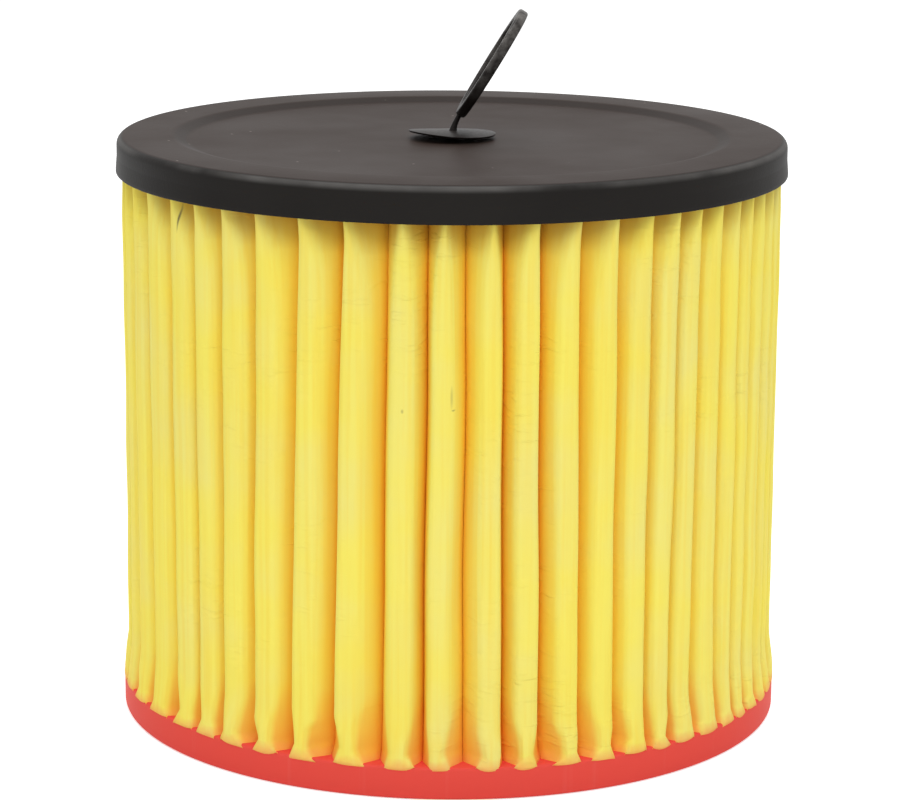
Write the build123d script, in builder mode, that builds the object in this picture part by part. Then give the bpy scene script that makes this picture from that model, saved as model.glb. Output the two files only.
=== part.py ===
from build123d import *
import math
import os

# Pleated cartridge filter for a wet and dry vacuum cleaner, in millimetres.
# It stands on its open end: a soft red ring cast round the foot of the pleats.
# A black cap closes the top and carries a pull ring. The front is -Y, and +Z is up.

# Overall sizes
cap_diameter = 180.0
base_diameter = 180.0
overall_height = 157.0  # foot of the base ring to the cap's raised rim

# Cap: a thin moulded lid with a sunk middle, a skirt and a dam that holds the glue
cap_wall = 1.2
cap_skirt_height = 9.6
cap_edge_radius = 2.2
cap_bead_height = 1.8
cap_bead_proud = 0.3
cap_rim_width = 15.0  # flat rim over the pleats, round the sunk middle
recess_slope_width = 4.0
recess_depth = 1.4
recess_blend_radius = 5.0
dam_wall = 1.2

# Base ring: open in the middle, it grips the collar of the machine's motor head
base_height = 8.5
base_floor = 3.0  # red compound under the pleats
base_edge_radius = 0.8
seal_bore_diameter = 125.0
seal_lead_in = 1.0

# Pleated paper: one sheet folded into crests and valleys and closed into a ring
pleat_count = 54
pleat_depth = 21.5
pleat_gap = 2.0  # open width between two crests where they are widest
pleat_valley_width = 2.2  # flat inner fold, at the middle of the sheet's thickness
pleat_crowding = 0.18  # share by which the pitch is finer at +X and wider at -X
pleat_shift = -0.15  # first crest from the front, in pitches
media_thickness = 0.6
pleat_clearance = 0.2  # crests to the inside of the cap's skirt

# Support core: a moulded lattice tube that stops the pleats folding inwards
core_wall = 1.6
core_columns = 20
core_rows = 6
core_rib_width = 4.0
core_end_band = 9.0
core_clearance = 0.2  # core to the inner folds, and to the cap's dam

# Glue that seals the pleats into the cap
glue_cover = 1.0  # glue between the ends of the pleats and the cap
glue_depth = 3.5  # length of pleat that stands in the glue

# Pull ring: disc, stem, neck and ring moulded as one soft piece
disc_diameter = 24.0
disc_rim = 1.0
disc_crown = 0.5
stem_diameter = 3.2
stem_clearance = 0.2
anchor_diameter = 8.0
anchor_height = 3.5
neck_diameter = 1.6
neck_rise = 4.6  # disc to the foot of the ring
neck_reach = 1.9
neck_start_lean = 12.0
ring_diameter = 33.0
ring_width = 3.0
ring_thickness = 2.7
ring_edge_radius = 0.7
ring_lean = 31.4  # from upright, towards +X

# Places worked out from the sizes above
cap_radius = cap_diameter / 2
skirt_bottom = overall_height - cap_skirt_height
recess_top_radius = cap_radius - cap_rim_width
recess_floor_radius = recess_top_radius - recess_slope_width
recess_floor = overall_height - recess_depth
cap_underside = recess_floor - cap_wall
slope_angle = math.atan2(recess_depth, recess_slope_width)
slope_shift = cap_wall * math.tan(slope_angle / 2)
pleat_radius = cap_radius - cap_wall - pleat_clearance
pleat_root_radius = pleat_radius - pleat_depth
valley_radius = pleat_root_radius + media_thickness / 2
media_top = cap_underside - glue_cover
glue_bottom = media_top - glue_depth
core_radius = pleat_root_radius - core_clearance
core_bore_radius = core_radius - core_wall
dam_radius = core_bore_radius - core_clearance
disc_top = recess_floor + disc_rim + disc_crown
lean = math.radians(ring_lean)
ring_axis = Vector(math.cos(lean), 0, -math.sin(lean))
ring_up = Vector(math.sin(lean), 0, math.cos(lean))
ring_foot = Vector(neck_reach, 0, disc_top + neck_rise)
ring_center = ring_foot + ring_up * (ring_diameter / 2)


def around(radius, angle):
    """Point at a radius and an angle counted from the front towards +X."""
    return Vector(radius * math.sin(angle), -radius * math.cos(angle))


def fold_angle(step):
    """Angle of a fold: whole steps are crests and half steps are valleys."""
    even = 2 * math.pi * (step + pleat_shift) / pleat_count
    return even + pleat_crowding * (math.cos(even) - 1)


def crest_circle(step):
    """Centre and mid-wall radius of the crest at a step, as wide as its pitch leaves after the gap."""
    pitch = fold_angle(step + 0.5) - fold_angle(step - 0.5)
    outer = (pitch * pleat_radius - pleat_gap) / (2 + pitch)
    return around(pleat_radius - outer, fold_angle(step)), outer - media_thickness / 2


def flank_normal(step, side):
    """Unit vector square to the flank of the crest at a step; side is 1 towards the next crest, -1 back."""
    center, radius = crest_circle(step)
    valley = fold_angle(step + side / 2)
    corner = around(valley_radius, valley) - around(side * pleat_valley_width / 2, valley + math.pi / 2)
    line = corner - center
    swing = math.degrees(math.acos(radius / line.length))
    return line.normalized().rotate(Axis.Z, -side * swing)


def valley_corner(step, side, offset):
    """Point where a flank meets the flat floor of its valley, both at an offset from the mid-wall."""
    center, radius = crest_circle(step)
    normal = flank_normal(step, side)
    floor = around(1, fold_angle(step + side / 2))
    flank_distance = center.dot(normal) + radius + offset
    floor_distance = valley_radius + offset
    cross = normal.X * floor.Y - normal.Y * floor.X
    return Vector(
        (flank_distance * floor.Y - floor_distance * normal.Y) / cross,
        (floor_distance * normal.X - flank_distance * floor.X) / cross,
    )


def media_outline(offset):
    """Closed outline of the folded sheet at an offset from its mid-wall: half its thickness, out or in."""
    for step in range(pleat_count):
        center, radius = crest_circle(step)
        near = center + flank_normal(step, -1) * (radius + offset)
        tip = center + around(radius + offset, fold_angle(step))
        far = center + flank_normal(step, 1) * (radius + offset)
        Line(valley_corner(step, -1, offset), near)
        ThreePointArc(near, tip, far)
        Line(far, valley_corner(step, 1, offset))
        Line(valley_corner(step, 1, offset), valley_corner(step + 1, -1, offset))


# Pleated paper
with BuildPart() as pleated_media:
    with BuildSketch(Plane.XY.offset(base_floor)):
        with BuildLine():
            media_outline(media_thickness / 2)
        make_face()
        with BuildLine():
            media_outline(-media_thickness / 2)
        make_face(mode=Mode.SUBTRACT)
    extrude(amount=media_top - base_floor)
pleated_media.part.label = "pleated_media"

# Support core: end bands and a lattice of ribs between them
window_field = media_top - base_floor - 2 * core_end_band
window_pitch = (window_field + core_rib_width) / core_rows
window_width = 2 * math.pi * core_radius / core_columns - core_rib_width
with BuildPart() as support_core:
    with BuildSketch(Plane.XY.offset(base_floor)):
        Circle(core_radius)
        Circle(core_bore_radius, mode=Mode.SUBTRACT)
    extrude(amount=media_top - base_floor)
    for row in range(core_rows):
        row_middle = base_floor + core_end_band + (row + 0.5) * window_pitch - core_rib_width / 2
        with Locations(Plane.XY.offset(row_middle)):
            with PolarLocations(core_radius - core_wall / 2, core_columns):
                Box(3 * core_wall, window_width, window_pitch - core_rib_width, mode=Mode.SUBTRACT)
support_core.part.label = "support_core"

# Base ring, cast round the feet of the pleats and of the core
with BuildPart() as base_ring:
    with BuildSketch():
        Circle(base_diameter / 2)
        Circle(seal_bore_diameter / 2, mode=Mode.SUBTRACT)
    extrude(amount=base_height)
    bore_mouth = base_ring.edges().filter_by(GeomType.CIRCLE).group_by(SortBy.RADIUS)[0].sort_by(Axis.Z)[0]
    chamfer(bore_mouth, seal_lead_in)
    outer_edges = base_ring.edges().filter_by(GeomType.CIRCLE).group_by(SortBy.RADIUS)[-1]
    fillet(outer_edges, base_edge_radius)
    add(pleated_media.part, mode=Mode.SUBTRACT)
    add(support_core.part, mode=Mode.SUBTRACT)
base_ring.part.label = "base_ring"

# Underside of the cap from the skirt to the dam, shared by the cap and the glue
underside = [
    ((cap_radius - cap_wall, overall_height - cap_wall), cap_edge_radius - cap_wall),
    ((recess_top_radius - slope_shift, overall_height - cap_wall), 0),
    ((recess_floor_radius - slope_shift, cap_underside), 0),
    ((dam_radius, cap_underside), 0),
]
cap_upper_side = [
    ((stem_diameter / 2 + stem_clearance, recess_floor), 0),
    ((recess_floor_radius, recess_floor), recess_blend_radius),
    ((recess_top_radius, overall_height), recess_blend_radius),
    ((cap_radius, overall_height), cap_edge_radius),
    ((cap_radius, skirt_bottom + cap_bead_height), 0),
    ((cap_radius + cap_bead_proud, skirt_bottom + cap_bead_height - cap_bead_proud), 0),
    ((cap_radius + cap_bead_proud, skirt_bottom), 0),
    ((cap_radius - cap_wall, skirt_bottom), 0),
]
cap_dam = [
    ((dam_radius, glue_bottom), 0),
    ((dam_radius - dam_wall, glue_bottom), 0),
    ((dam_radius - dam_wall, cap_underside), 0),
    ((stem_diameter / 2 + stem_clearance, cap_underside), 0),
]
glue_surface = [
    ((dam_radius, glue_bottom), 0),
    ((cap_radius - cap_wall, glue_bottom), 0),
]


def wall_section(corners):
    """Closed outline through corners, each a point and the radius that rounds it."""
    FilletPolyline([point for point, _ in corners], radius=[radius for _, radius in corners], close=True)


# Cap, turned about the axis
with BuildPart() as top_cap:
    with BuildSketch(Plane.XZ):
        with BuildLine():
            wall_section(cap_upper_side + underside + cap_dam)
        make_face()
    revolve(axis=Axis.Z)
top_cap.part.label = "top_cap"

# Glue between the dam and the skirt, with the ends of the pleats and of the core in it
with BuildPart() as cap_glue:
    with BuildSketch(Plane.XZ):
        with BuildLine():
            wall_section(glue_surface + underside)
        make_face()
    revolve(axis=Axis.Z)
    add(pleated_media.part, mode=Mode.SUBTRACT)
    add(support_core.part, mode=Mode.SUBTRACT)
cap_glue.part.label = "cap_glue"

# Pull ring: the disc lies in the recess, and the anchor holds under the cap
disc_corners = [
    (0, disc_top),
    (disc_diameter / 2 - disc_crown, recess_floor + disc_rim),
    (disc_diameter / 2, recess_floor + disc_rim / 2),
    (disc_diameter / 2 - disc_crown, recess_floor),
    (stem_diameter / 2, recess_floor),
    (stem_diameter / 2, cap_underside - stem_clearance),
    (anchor_diameter / 2, cap_underside - stem_clearance),
    (stem_diameter / 2, cap_underside - stem_clearance - anchor_height),
    (0, cap_underside - stem_clearance - anchor_height),
]
ring_plane = Plane(ring_center, x_dir=ring_up, z_dir=ring_axis)
neck_end = ring_foot + ring_up * (ring_width / 2)
neck_lean = math.radians(neck_start_lean)
with BuildPart() as pull_ring:
    with BuildSketch(ring_plane):
        Circle(ring_diameter / 2)
        Circle(ring_diameter / 2 - ring_width, mode=Mode.SUBTRACT)
    extrude(amount=ring_thickness / 2, both=True)
    fillet(pull_ring.edges(), ring_edge_radius)
    with BuildSketch(Plane.XZ):
        with BuildLine():
            Polyline(disc_corners, close=True)
        make_face()
    revolve(axis=Axis.Z)
    with BuildLine() as neck_path:
        TangentArc(
            (0, 0, disc_top - disc_crown),
            neck_end,
            tangent=(math.sin(neck_lean), 0, math.cos(neck_lean)),
        )
    with BuildSketch(neck_path.line ^ 0):
        Circle(neck_diameter / 2)
    sweep(path=neck_path.line)
pull_ring.part.label = "pull_ring"

os.makedirs("parts", exist_ok=True)
for piece in (base_ring, pleated_media, support_core, cap_glue, top_cap, pull_ring):
    export_step(piece.part, f"parts/{piece.part.label}.step")
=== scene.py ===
"""A pleated vacuum filter cartridge, dressed for its picture.

Yellow filter paper is folded into a ring of pleats. The feet of the pleats stand in a soft red ring, and
their heads are glued into a black cap that carries a pull ring. Lengths are in millimetres until a mesh
is made, and angles round the filter are counted from its front, which faces -Y, towards +X.
"""

import logging
import math
import random
from dataclasses import dataclass, field
from enum import Enum
from typing import Any, Iterable, Sequence

import bpy
from mathutils import Matrix, Vector, noise


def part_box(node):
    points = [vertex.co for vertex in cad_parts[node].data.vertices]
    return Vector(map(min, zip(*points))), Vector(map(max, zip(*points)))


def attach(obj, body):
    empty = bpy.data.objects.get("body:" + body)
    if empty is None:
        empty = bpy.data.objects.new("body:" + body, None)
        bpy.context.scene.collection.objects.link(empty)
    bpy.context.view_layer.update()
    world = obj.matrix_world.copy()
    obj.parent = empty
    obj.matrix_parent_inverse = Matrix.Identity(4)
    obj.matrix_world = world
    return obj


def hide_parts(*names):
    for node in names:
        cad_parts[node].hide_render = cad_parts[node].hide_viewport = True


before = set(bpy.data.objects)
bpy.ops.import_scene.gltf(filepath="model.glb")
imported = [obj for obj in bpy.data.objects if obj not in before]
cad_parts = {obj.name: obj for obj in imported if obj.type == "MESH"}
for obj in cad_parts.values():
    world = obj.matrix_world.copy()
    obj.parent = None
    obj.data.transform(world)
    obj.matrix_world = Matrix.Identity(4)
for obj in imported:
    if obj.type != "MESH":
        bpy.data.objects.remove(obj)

log = logging.getLogger("filter")

MM = 0.001
BODY = "root"
PICTURE_WIDTH = 900

Point = tuple[float, float]
Span = tuple[float, float]
Corner = tuple[float, float, float]
Colour = tuple[float, float, float, float]
Shell = tuple[list[Vector], list[tuple[int, ...]]]
Layer = tuple[bpy.types.NodeSocket, str]


class Slot(Enum):
    """Material slots of the record."""

    RED_COMPOUND = "red_compound"
    FILTER_PAPER = "filter_paper"
    CORE_PLASTIC = "core_plastic"
    GLUE = "glue"
    CAP_PLASTIC = "cap_plastic"
    RING_PLASTIC = "ring_plastic"


def linear(hex_colour: str) -> Colour:
    """Turn an sRGB hex colour into linear light.

    Args:
        hex_colour: six hex digits after a hash sign.

    Returns:
        Red, green, blue and a full alpha, in linear light.
    """
    channels = [int(hex_colour[i : i + 2], 16) / 255 for i in (1, 3, 5)]
    red, green, blue = (c / 12.92 if c <= 0.04045 else ((c + 0.055) / 1.055) ** 2.4 for c in channels)
    return red, green, blue, 1.0


def per(size_mm: float) -> float:
    """Texture scale, in cells to the metre, that draws features of a size in millimetres."""
    return 1 / (size_mm * MM)


def ease(value: float) -> float:
    """Clamp a value to 0 and 1 with a soft start and stop."""
    clamped = min(max(value, 0.0), 1.0)
    return clamped * clamped * (3 - 2 * clamped)


def blend(start: float, end: float, share: float) -> float:
    """The value a share of the way from start to end."""
    return start + (end - start) * share


def add_node(
    tree: bpy.types.NodeTree,
    kind: str,
    inputs: dict[str | int, Any] | None = None,
    **settings: Any,
) -> bpy.types.Node:
    """Add one shader node with its settings and its links.

    Args:
        tree: the node tree that gets the node.
        kind: Blender's name of the node type.
        inputs: a value or an output socket for each input, by the input's name or number.
        settings: the node's own attributes.

    Returns:
        The new node.
    """
    node = tree.nodes.new(kind)
    for name, value in settings.items():
        setattr(node, name, value)
    for key, value in (inputs or {}).items():
        if isinstance(value, bpy.types.NodeSocket):
            tree.links.new(value, node.inputs[key])
        else:
            node.inputs[key].default_value = value
    return node


def make_piece(
    name: str,
    points: Sequence[Sequence[float]],
    faces: Sequence[Sequence[int]],
    material: bpy.types.Material,
    crease_deg: float,
) -> bpy.types.Object:
    """Make a smooth-shaded mesh object that rides on the filter.

    Args:
        name: the piece's name.
        points: the vertices, in millimetres.
        faces: the vertex numbers of each face.
        material: the piece's finish.
        crease_deg: edges that turn by more than this angle stay sharp.

    Returns:
        The new object.
    """
    mesh = bpy.data.meshes.new(name)
    mesh.from_pydata([Vector(point) * MM for point in points], [], faces)
    mesh.validate()
    mesh.shade_smooth()
    mesh.set_sharp_from_angle(angle=math.radians(crease_deg))
    mesh.materials.append(material)
    piece = bpy.data.objects.new(name, mesh)
    bpy.context.scene.collection.objects.link(piece)
    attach(piece, BODY)
    log.info("%s: %d faces", name, len(mesh.polygons))
    return piece


def dress_node(node: str, material: bpy.types.Material) -> None:
    """Give a carried-over solid its finish.

    Args:
        node: the solid's name.
        material: the finish.
    """
    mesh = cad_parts[node].data
    mesh.materials.clear()
    mesh.materials.append(material)
    log.info("%s: finish %s", node, material.name)


def rounded_outline(corners: Sequence[Corner], steps: int) -> list[Point]:
    """Round the corners of a closed outline.

    Args:
        corners: radius from the axis, height and rounding radius of each corner.
        steps: points on each rounded corner, less one.

    Returns:
        The outline's points in the same order.
    """
    outline: list[Point] = []
    for index, (x, z, radius) in enumerate(corners):
        corner = Vector((x, z))
        if radius == 0:
            outline.append((x, z))
            continue
        before = (Vector(corners[index - 1][:2]) - corner).normalized()
        after = (Vector(corners[(index + 1) % len(corners)][:2]) - corner).normalized()
        half = before.angle(after) / 2
        center = corner + (before + after).normalized() * (radius / math.sin(half))
        reach = radius / math.tan(half)
        start, stop = corner + before * reach - center, corner + after * reach - center
        turn = math.copysign(math.pi - 2 * half, start.cross(stop))
        for step in range(steps + 1):
            spoke = Matrix.Rotation(turn * step / steps, 2) @ start
            outline.append((center.x + spoke.x, center.y + spoke.y))
    return outline


def turned(outline: Sequence[Point], segments: int) -> Shell:
    """Turn a closed outline about the filter's axis.

    Args:
        outline: radius and height of each point.
        segments: number of steps round the axis.

    Returns:
        The points and the faces of the closed surface.
    """
    points: list[Vector] = []
    for segment in range(segments):
        angle = 2 * math.pi * segment / segments
        points += [Vector((r * math.sin(angle), -r * math.cos(angle), z)) for r, z in outline]
    size = len(outline)
    faces: list[tuple[int, ...]] = []
    for segment in range(segments):
        here, there = segment * size, (segment + 1) % segments * size
        for row in range(size):
            following = (row + 1) % size
            faces.append((here + row, there + row, there + following, here + following))
    return points, faces


@dataclass(frozen=True)
class Finish:
    """What every finish has: a name, a colour and the shine of its surface."""

    name: str
    colour: str
    roughness: float
    ior: float
    specular: float

    def material(self) -> bpy.types.Material:
        """Make the material, with the finish's own detail.

        Returns:
            The new material.
        """
        material = bpy.data.materials.new(self.name)
        material.use_nodes = True
        tree = material.node_tree
        shader = tree.nodes["Principled BSDF"]
        shader.inputs["Base Color"].default_value = linear(self.colour)
        shader.inputs["Roughness"].default_value = self.roughness
        shader.inputs["IOR"].default_value = self.ior
        shader.inputs["Specular IOR Level"].default_value = self.specular
        self.detail(tree, shader)
        return material

    def detail(self, tree: bpy.types.NodeTree, shader: bpy.types.Node) -> None:
        """Add what the eye sees on the surface; a plain finish adds nothing.

        Args:
            tree: the material's node tree.
            shader: its surface shader.
        """


@dataclass(frozen=True)
class Smudge:
    """A small dark mark on the outside of the paper."""

    angle_deg: float
    height_mm: float
    width_mm: float
    length_mm: float
    strength: float


@dataclass(frozen=True)
class CreasedFilterPaper(Finish):
    """Cellulose paper soaked in resin and dyed yellow, then pleated.

    It is matt and a little clouded, with upright streaks from the pleating rollers. The inner folds and the
    creases of the foot are painted deeper and more orange, as painted shade and bounced light; the flanks
    just under the cap are painted a darker gold, as painted shade; and the red compound has soaked a little
    way up from the foot. Handling has left a few faint cross creases and smudges.
    """

    cloud_colour: str = "#f2e782"
    streak_colour: str = "#f7d74c"
    smudge_colour: str = "#6b6248"
    # painted shade and bounced light: the inner folds are painted deeper and more orange
    fold_shade_colour: str = "#f8cf47"
    # painted shade: the flanks just under the cap are painted a darker gold
    under_cap_shade_colour: str = "#bd8a30"
    # painted shade and bounced light: the creases of the foot are painted orange
    foot_crease_shade_colour: str = "#f59d3c"
    soaked_colour: str = "#f59a5c"
    cloud_mm: float = 26.0
    cloud_range: Span = (0.38, 0.72)
    fold_shade_share: float = 0.85
    crest_radius_mm: float = 87.4
    fold_radius_mm: float = 81.8
    foot_flare_mm: float = 2.6
    flare_height_mm: float = 26.0
    foot_crease_shade_share: float = 0.6
    crease_crest_mm: float = 86.9
    crease_fold_mm: float = 85.6
    fibre_mm: float = 0.9  # real fibres are finer, and wouldn't show
    fibre_depth_mm: float = 0.02
    streak_mm: float = 1.6
    streak_length_mm: float = 70.0
    streak_depth_mm: float = 0.05
    streak_range: Span = (0.4, 0.75)
    streak_share: float = 0.45
    crease_length_mm: float = 8.0
    crease_width_mm: float = 1.7
    crease_depth_mm: float = 0.18
    crease_range: Span = (0.56, 0.74)
    crease_patch_mm: float = 30.0
    patch_range: Span = (0.48, 0.64)
    foot_mm: float = 8.2
    soak_height_mm: float = 4.2
    soak_ragged_mm: float = 3.0
    soak_patch_mm: float = 4.0
    soak_share: float = 0.9
    under_cap_shade_top_mm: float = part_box("top_cap")[0].z / MM
    under_cap_shade_height_mm: float = 9.0
    under_cap_shade_crest_mm: float = 88.6
    under_cap_shade_fold_mm: float = 86.0
    under_cap_shade_shares: Span = (0.1, 0.8)
    crest_mm: float = 88.6
    smudge_reach_mm: float = 8.0
    smudge_core: float = 0.3
    smudges: tuple[Smudge, ...] = (
        Smudge(-51.8, 143.0, 0.7, 9.0, 0.85),
        Smudge(0.2, 104.0, 0.9, 7.0, 0.3),
        Smudge(0.5, 100.8, 1.2, 0.6, 0.5),
        Smudge(-7.7, 100.4, 0.9, 1.4, 0.4),
    )

    def detail(self, tree: bpy.types.NodeTree, shader: bpy.types.Node) -> None:
        """Add the colours and the relief.

        Args:
            tree: the material's node tree.
            shader: its surface shader.
        """
        place = add_node(tree, "ShaderNodeTexCoord").outputs["Object"]
        tree.links.new(self.colours(tree, place), shader.inputs["Base Color"])
        tree.links.new(self.relief(tree, place), shader.inputs["Normal"])

    def colours(self, tree: bpy.types.NodeTree, place: bpy.types.NodeSocket) -> bpy.types.NodeSocket:
        """Lay clouds, streaks, painted shade, the soak and smudges over the paper's own colour.

        Args:
            tree: the material's node tree.
            place: the point on the paper.

        Returns:
            The colour.
        """
        height = add_node(tree, "ShaderNodeSeparateXYZ", {0: place}).outputs["Z"]
        level = add_node(tree, "ShaderNodeMapping", {"Vector": place, "Scale": (1, 1, 0)})
        outward = add_node(tree, "ShaderNodeVectorMath", {0: level.outputs[0]}, operation="LENGTH")
        radius = outward.outputs["Value"]
        layers = self.roller_layers(tree, place) + self.fold_shade_layers(tree, radius, height)
        layers += [self.under_cap_shade_layer(tree, radius, height), self.soaked_layer(tree, place, height)]
        layers += [self.smudge_layer(tree, place, smudge) for smudge in self.smudges]
        colour: Any = linear(self.colour)
        for share, over in layers:
            inputs = {0: share, 6: colour, 7: linear(over)}
            colour = add_node(tree, "ShaderNodeMix", inputs, data_type="RGBA").outputs[2]
        return colour

    def streaks(self, tree: bpy.types.NodeTree, place: bpy.types.NodeSocket) -> bpy.types.NodeSocket:
        """Draw the upright streaks that the pleating rollers left.

        Args:
            tree: the material's node tree.
            place: the point on the paper.

        Returns:
            The strength of the streaks.
        """
        upright = add_node(
            tree,
            "ShaderNodeMapping",
            {"Vector": place, "Scale": (per(self.streak_mm),) * 2 + (per(self.streak_length_mm),)},
        )
        streaks = add_node(tree, "ShaderNodeTexNoise", {"Vector": upright.outputs[0], "Scale": 1.0})
        return streaks.outputs["Fac"]

    def roller_layers(self, tree: bpy.types.NodeTree, place: bpy.types.NodeSocket) -> list[Layer]:
        """Find where the paper is clouded and where it is streaked.

        Args:
            tree: the material's node tree.
            place: the point on the paper.

        Returns:
            The share and the colour of each layer.
        """
        clouds = add_node(
            tree, "ShaderNodeTexNoise", {"Vector": place, "Scale": per(self.cloud_mm), "Detail": 3.0}
        )
        low, high = self.cloud_range
        cloud = add_node(tree, "ShaderNodeMapRange", {0: clouds.outputs["Fac"], 1: low, 2: high})
        low, high = self.streak_range
        streak = add_node(
            tree, "ShaderNodeMapRange", {0: self.streaks(tree, place), 1: low, 2: high, 4: self.streak_share}
        )
        return [(cloud.outputs[0], self.cloud_colour), (streak.outputs[0], self.streak_colour)]

    def fold_shade_layers(
        self, tree: bpy.types.NodeTree, radius: bpy.types.NodeSocket, height: bpy.types.NodeSocket
    ) -> list[Layer]:
        """Find where shade and bounced light are painted into the inner folds, which lie further out near the
        flared foot, and into the creases of the foot.

        Args:
            tree: the material's node tree.
            radius: the point's distance from the axis.
            height: the point's height.

        Returns:
            The share and the colour of each layer.
        """
        foot, flare_top = self.foot_mm * MM, self.flare_height_mm * MM
        flare = add_node(
            tree, "ShaderNodeMapRange", {0: height, 1: foot, 2: flare_top, 3: self.foot_flare_mm * MM, 4: 0.0}
        )
        reach = add_node(
            tree, "ShaderNodeMath", {0: radius, 1: flare.outputs[0]}, operation="SUBTRACT"
        ).outputs[0]
        # painted shade and bounced light: deeper and more orange the further the paper lies behind the crest
        fold = add_node(
            tree,
            "ShaderNodeMapRange",
            {0: reach, 1: self.crest_radius_mm * MM, 2: self.fold_radius_mm * MM, 4: self.fold_shade_share},
        )
        # painted shade and bounced light: orange in the creases near the foot, fading upwards
        near_foot = add_node(
            tree, "ShaderNodeMapRange", {0: height, 1: foot, 2: flare_top, 3: self.foot_crease_shade_share, 4: 0.0}
        )
        crease = add_node(
            tree,
            "ShaderNodeMapRange",
            {0: reach, 1: self.crease_crest_mm * MM, 2: self.crease_fold_mm * MM, 4: near_foot.outputs[0]},
        )
        return [(fold.outputs[0], self.fold_shade_colour), (crease.outputs[0], self.foot_crease_shade_colour)]

    def under_cap_shade_layer(
        self, tree: bpy.types.NodeTree, radius: bpy.types.NodeSocket, height: bpy.types.NodeSocket
    ) -> Layer:
        """Find where shade is painted on the paper's flanks just under the cap.

        Args:
            tree: the material's node tree.
            radius: the point's distance from the axis.
            height: the point's height.

        Returns:
            The share and the colour of the layer.
        """
        top = self.under_cap_shade_top_mm * MM
        under_cap = add_node(
            tree, "ShaderNodeMapRange", {0: height, 1: top - self.under_cap_shade_height_mm * MM, 2: top}
        )
        least, most = self.under_cap_shade_shares
        off_crest = add_node(
            tree,
            "ShaderNodeMapRange",
            {0: radius, 1: self.under_cap_shade_crest_mm * MM, 2: self.under_cap_shade_fold_mm * MM, 3: least, 4: most},
        )
        # painted shade, strongest at the skirt and away from the crest
        under_cap_shade = add_node(
            tree, "ShaderNodeMath", {0: under_cap.outputs[0], 1: off_crest.outputs[0]}, operation="MULTIPLY"
        )
        return under_cap_shade.outputs[0], self.under_cap_shade_colour

    def soaked_layer(
        self, tree: bpy.types.NodeTree, place: bpy.types.NodeSocket, height: bpy.types.NodeSocket
    ) -> Layer:
        """Find where the red compound has soaked up from the foot, to a ragged line.

        Args:
            tree: the material's node tree.
            place: the point on the paper.
            height: the point's height.

        Returns:
            The share and the colour of the layer.
        """
        ragged = add_node(tree, "ShaderNodeTexNoise", {"Vector": place, "Scale": per(self.soak_patch_mm)})
        soak_line = add_node(
            tree,
            "ShaderNodeMath",
            {0: ragged.outputs["Fac"], 1: self.soak_ragged_mm * MM, 2: height},
            operation="MULTIPLY_ADD",
        )
        foot, soak_top = self.foot_mm * MM, (self.foot_mm + self.soak_height_mm) * MM
        soak = add_node(
            tree,
            "ShaderNodeMapRange",
            {0: soak_line.outputs[0], 1: foot, 2: soak_top, 3: self.soak_share, 4: 0.0},
        )
        return soak.outputs[0], self.soaked_colour

    def smudge_layer(
        self, tree: bpy.types.NodeTree, place: bpy.types.NodeSocket, smudge: Smudge
    ) -> Layer:
        """Find where one smudge lies.

        Args:
            tree: the material's node tree.
            place: the point on the paper.
            smudge: where the smudge lies, and its size.

        Returns:
            The share and the colour of the layer.
        """
        angle = math.radians(smudge.angle_deg)
        center = (self.crest_mm * math.sin(angle), -self.crest_mm * math.cos(angle), smudge.height_mm)
        sizes = (smudge.width_mm, self.smudge_reach_mm, smudge.length_mm)
        nearby = add_node(
            tree,
            "ShaderNodeMapping",
            {
                "Vector": place,
                "Location": Vector(center) * MM,
                "Rotation": (0, 0, angle),
                "Scale": Vector(sizes) * MM / 2,
            },
            vector_type="TEXTURE",
        )
        away = add_node(tree, "ShaderNodeVectorMath", {0: nearby.outputs[0]}, operation="LENGTH")
        share = add_node(
            tree,
            "ShaderNodeMapRange",
            {0: away.outputs["Value"], 1: 1.0, 2: self.smudge_core, 4: smudge.strength},
        )
        return share.outputs[0], self.smudge_colour

    def relief(self, tree: bpy.types.NodeTree, place: bpy.types.NodeSocket) -> bpy.types.NodeSocket:
        """Add fibres, upright streaks and patches of cross creases.

        Args:
            tree: the material's node tree.
            place: the point on the paper.

        Returns:
            The surface normal.
        """
        fibres = add_node(
            tree, "ShaderNodeTexNoise", {"Vector": place, "Scale": per(self.fibre_mm), "Detail": 2.0}
        )
        across = add_node(
            tree,
            "ShaderNodeMapping",
            {"Vector": place, "Scale": (per(self.crease_length_mm),) * 2 + (per(self.crease_width_mm),)},
        )
        creases = add_node(
            tree,
            "ShaderNodeTexNoise",
            {"Vector": across.outputs[0], "Scale": 1.0, "Detail": 1.0, "Distortion": 0.6},
        )
        low, high = self.crease_range
        lines = add_node(tree, "ShaderNodeMapRange", {0: creases.outputs["Fac"], 1: low, 2: high})
        patches = add_node(tree, "ShaderNodeTexNoise", {"Vector": place, "Scale": per(self.crease_patch_mm)})
        low, high = self.patch_range
        patch = add_node(tree, "ShaderNodeMapRange", {0: patches.outputs["Fac"], 1: low, 2: high})
        patched = add_node(
            tree, "ShaderNodeMath", {0: lines.outputs[0], 1: patch.outputs[0]}, operation="MULTIPLY"
        )
        normal = add_node(tree, "ShaderNodeNewGeometry").outputs["Normal"]
        for relief, depth_mm in (
            (fibres.outputs["Fac"], self.fibre_depth_mm),
            (self.streaks(tree, place), self.streak_depth_mm),
            (patched.outputs[0], self.crease_depth_mm),
        ):
            bump = add_node(
                tree,
                "ShaderNodeBump",
                {"Height": relief, "Distance": depth_mm * MM, "Strength": 1.0, "Normal": normal},
            )
            normal = bump.outputs[0]
        return normal


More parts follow.
